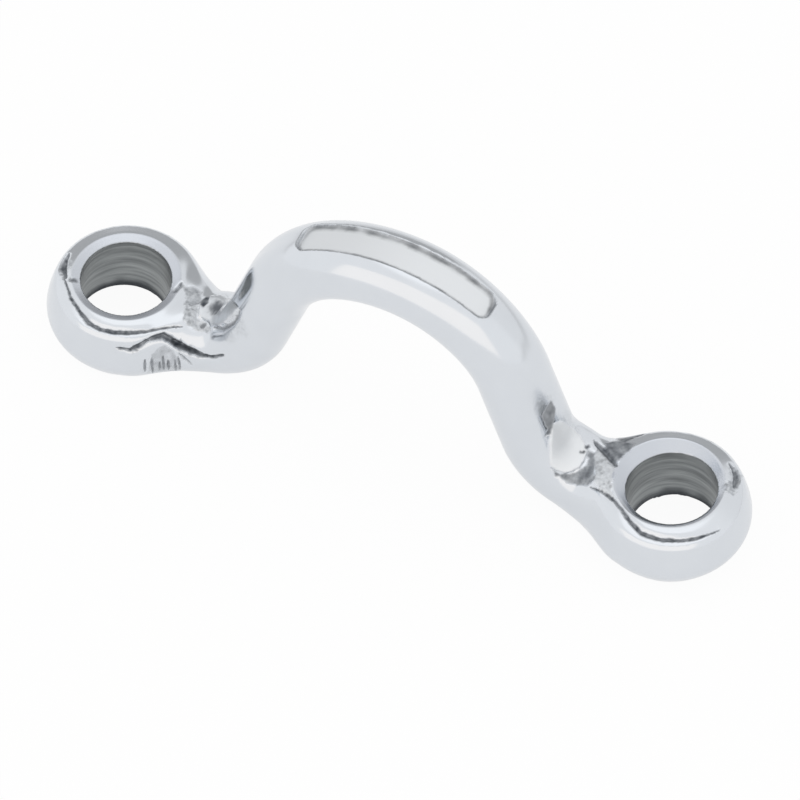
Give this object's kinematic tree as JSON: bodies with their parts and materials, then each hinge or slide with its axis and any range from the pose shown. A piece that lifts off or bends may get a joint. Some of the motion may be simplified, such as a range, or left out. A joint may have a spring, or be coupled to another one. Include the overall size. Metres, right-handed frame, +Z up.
{
  "type": "forged eye strap",
  "caption": "Forged stainless eye strap: an oval bar bowed up between flat eyes with countersunk screw holes, to hold a line, shackle or block to a deck.",
  "frame": {"origin": "on the deck, midway between the two screw axes", "axes": "+X along the strap from eye to eye, +Y across the bar, +Z up from the deck"},
  "size_m": [0.0484, 0.0104, 0.0181],
  "materials": {
    "polished_steel": "forged and tumble-polished stainless steel, machined bores and countersinks"
  },
  "bodies": {
    "root": {"eye_strap": "polished_steel"}
  },
  "joints": []
}
